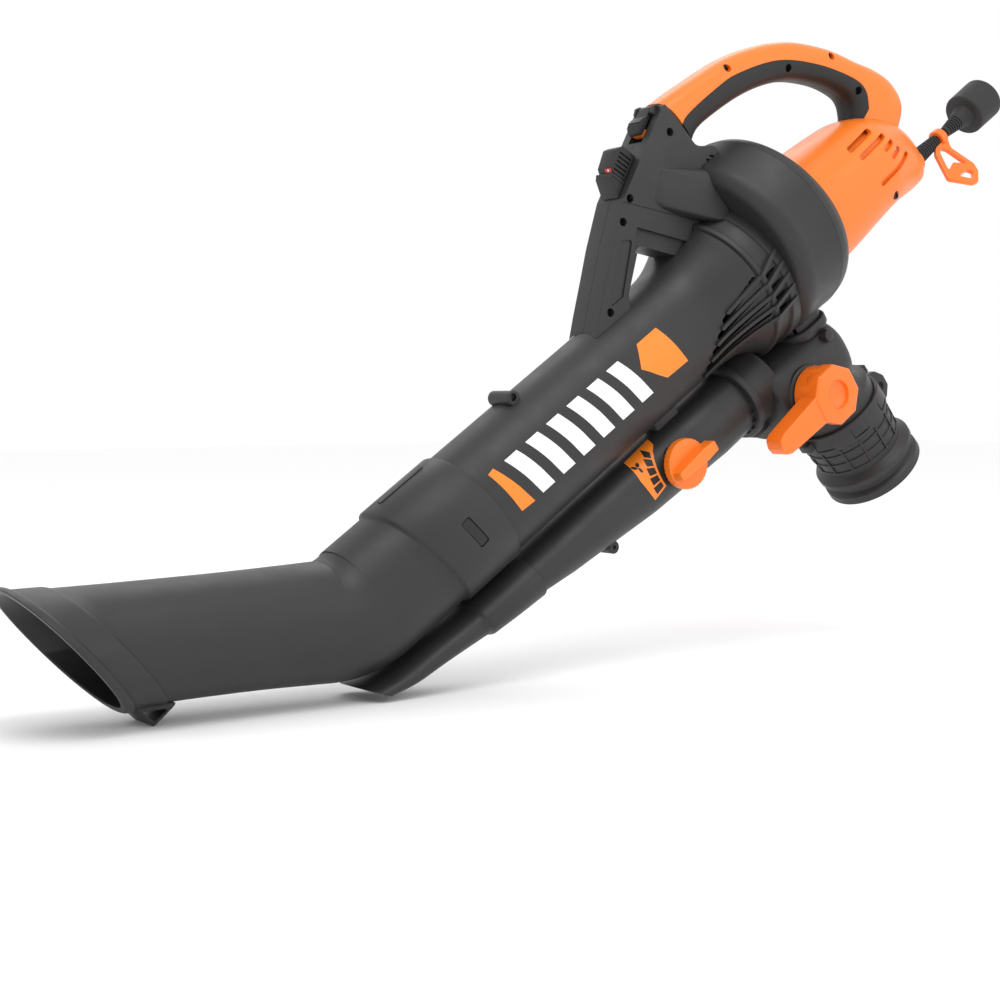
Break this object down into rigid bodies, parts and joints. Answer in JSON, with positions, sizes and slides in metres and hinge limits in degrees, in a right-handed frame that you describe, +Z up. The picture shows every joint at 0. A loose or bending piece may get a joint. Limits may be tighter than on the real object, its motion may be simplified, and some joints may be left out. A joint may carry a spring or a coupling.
{
  "type": "garden leaf blower and vacuum",
  "caption": "Corded hand-held garden blower, vacuum and mulcher: sloping suction tube over a slim blower tube, fan drum, motor with loop handle, diverter with lever and bag collar.",
  "frame": {"origin": "middle of the rear grip, where one hand holds the tool", "axes": "+X from the nozzle towards the cord, level in the working pose; +Y to the far side from the controls; +Z up. The suction tube slopes up by 35 degrees towards +X and the nozzle is nearly level."},
  "size_m": [0.9818, 0.173, 0.5358],
  "materials": {
    "charcoal_plastic": "fine-grained satin moulding",
    "black_plastic": "matt moulding",
    "orange_plastic": "fine satin moulding",
    "lever_orange": "smooth satin moulding",
    "soft_rubber": "matt",
    "steel": "satin",
    "dark_steel": "satin black",
    "aluminium": "as cast",
    "copper": "varnished",
    "carbon": "matt"
  },
  "bodies": {
    "housing": {"suction_nozzle": "charcoal_plastic", "suction_tube": "charcoal_plastic", "blower_tube": "charcoal_plastic", "blower_nozzle": "charcoal_plastic", "tube_clip": "charcoal_plastic", "fan_housing_front": "charcoal_plastic", "fan_housing_rear": "charcoal_plastic", "upper_housing_left": "charcoal_plastic", "upper_housing_right": "charcoal_plastic", "diverter_body": "charcoal_plastic", "grip_insert_left": "black_plastic", "grip_insert_right": "black_plastic", "switch_box": "black_plastic", "switch_module": "black_plastic", "interlock_switch": "black_plastic", "rear_handle_left": "orange_plastic", "rear_handle_right": "orange_plastic", "motor_housing_left": "orange_plastic", "motor_housing_right": "orange_plastic", "cord_hook": "lever_orange", "intake_seal": "soft_rubber", "strain_relief": "soft_rubber", "supply_cord": "soft_rubber", "plug_body": "soft_rubber", "front_bearing": "steel", "rear_bearing": "steel", "plug_blade_left": "steel", "plug_blade_right": "steel", "bulkhead_plate": "dark_steel", "stator": "dark_steel", "motor_screw": "dark_steel", "handle_screw_1": "dark_steel", "handle_screw_2": "dark_steel", "handle_screw_3": "dark_steel", "handle_screw_4": "dark_steel", "housing_screw_1": "dark_steel", "housing_screw_2": "dark_steel", "housing_screw_3": "dark_steel", "housing_screw_4": "dark_steel", "motor_bracket": "aluminium", "brush_left": "carbon", "brush_right": "carbon"},
    "rotor": {"impeller": "aluminium", "shredder_blade": "steel", "impeller_nut": "steel", "motor_shaft": "steel", "armature": "copper", "commutator": "copper", "cooling_fan": "black_plastic"},
    "mode_selector": {"mode_lever": "lever_orange", "flap_shaft": "steel", "diverter_flap": "black_plastic"},
    "air_dial": {"flow_dial": "orange_plastic", "throttle_plate": "steel"},
    "power_switch": {"power_slider": "black_plastic"},
    "lock_release": {"lock_lever": "black_plastic", "lock_catch": "orange_plastic"},
    "nozzle_catch": {"nozzle_latch": "black_plastic"},
    "bag_collar": {"bag_connector": "charcoal_plastic"},
    "collar_latch": {"connector_latch": "black_plastic"}
  },
  "joints": [
    {"name": "rotor_spin", "type": "hinge", "parent": "housing", "child": "rotor", "pos_m": [0.04401, 0, -0.14131], "axis": [0.8192, 0, 0.5736], "continuous": true},
    {"name": "mode_lever_turn", "type": "hinge", "parent": "housing", "child": "mode_selector", "pos_m": [0.04772, 0, -0.27911], "axis": [0, -1, 0], "range_deg": [0, 60]},
    {"name": "air_dial_turn", "type": "hinge", "parent": "housing", "child": "air_dial", "pos_m": [-0.09081, 0, -0.33582], "axis": [0, 1, 0], "range_deg": [0, 75]},
    {"name": "power_slide", "type": "slide", "parent": "housing", "child": "power_switch", "axis": [0.4617, 0, 0.887], "range_m": [0, 0.008]},
    {"name": "lock_press", "type": "hinge", "parent": "housing", "child": "lock_release", "pos_m": [-0.10248, 0, -0.04264], "axis": [0, -1, 0], "range_deg": [0, 10], "stiffness_Nm_per_rad": 0.06, "springref_deg": -5.73},
    {"name": "nozzle_catch_press", "type": "slide", "parent": "housing", "child": "nozzle_catch", "axis": [0, 1, 0], "range_m": [0, 0.0025], "stiffness_N_per_m": 400, "springref_m": -0.002},
    {"name": "bag_collar_turn", "type": "hinge", "parent": "housing", "child": "bag_collar", "pos_m": [0.16914, 0, -0.3479], "axis": [-0.682, 0, 0.7314], "range_deg": [0, 20]},
    {"name": "collar_latch_slide", "type": "slide", "parent": "bag_collar", "child": "collar_latch", "axis": [0.682, 0, -0.7314], "range_m": [0, 0.003], "stiffness_N_per_m": 300, "springref_m": -0.002}
  ]
}
